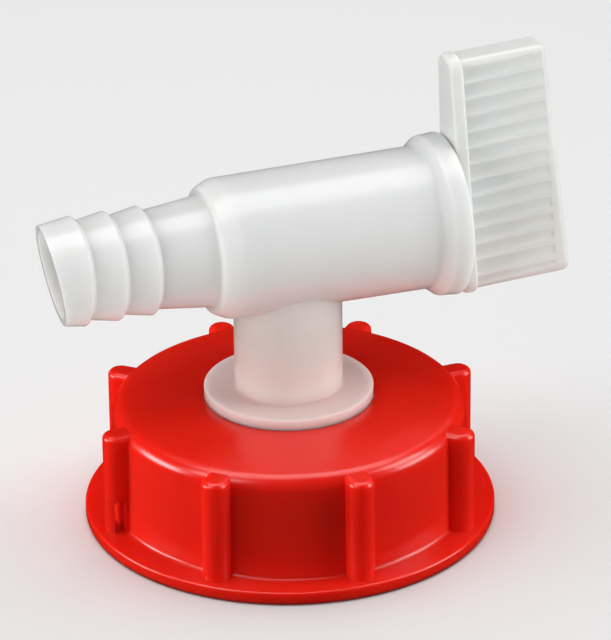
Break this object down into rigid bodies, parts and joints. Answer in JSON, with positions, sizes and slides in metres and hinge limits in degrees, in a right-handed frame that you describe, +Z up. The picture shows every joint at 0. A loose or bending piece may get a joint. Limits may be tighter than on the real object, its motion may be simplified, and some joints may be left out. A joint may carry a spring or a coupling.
{
  "type": "drum drain cock",
  "caption": "Plastic drum tap: a quarter-turn plug cock with barbed hose tail and upright paddle handle, on a swivelling lugged screw cap for a wide container thread.",
  "frame": {"origin": "centre of the screw cap's rest face, on the axis of the cap and the neck", "axes": "+Z up along the neck, away from the container; X along the barrel, with the hose tail towards -X and the handle at +X; the handle stands along +Z at rest"},
  "size_m": [0.1016, 0.078, 0.0885],
  "materials": {
    "cap_red": "glossy moulded red polyethylene",
    "natural_plastic": "semi-gloss natural polyethylene, slightly translucent",
    "plug_plastic": "smooth natural polyethylene",
    "handle_plastic": "semi-gloss white natural polyethylene",
    "seal_rubber": "smooth black seal rubber"
  },
  "bodies": {
    "cap": {"screw_cap": "cap_red"},
    "tap": {"tap_body": "natural_plastic", "swivel_insert": "natural_plastic", "rim_gasket": "seal_rubber", "neck_seal": "seal_rubber"},
    "valve": {"plug": "plug_plastic", "front_o_ring": "seal_rubber", "rear_o_ring": "seal_rubber", "handle": "handle_plastic"}
  },
  "joints": [
    {"name": "cap_swivel", "type": "hinge", "parent": "cap", "child": "tap", "pos_m": [0, 0, 0], "axis": [0, 0, 1], "continuous": true},
    {"name": "quarter_turn", "type": "hinge", "parent": "tap", "child": "valve", "pos_m": [0, 0, 0.0562], "axis": [1, 0, 0], "range_deg": [0, 90]}
  ]
}
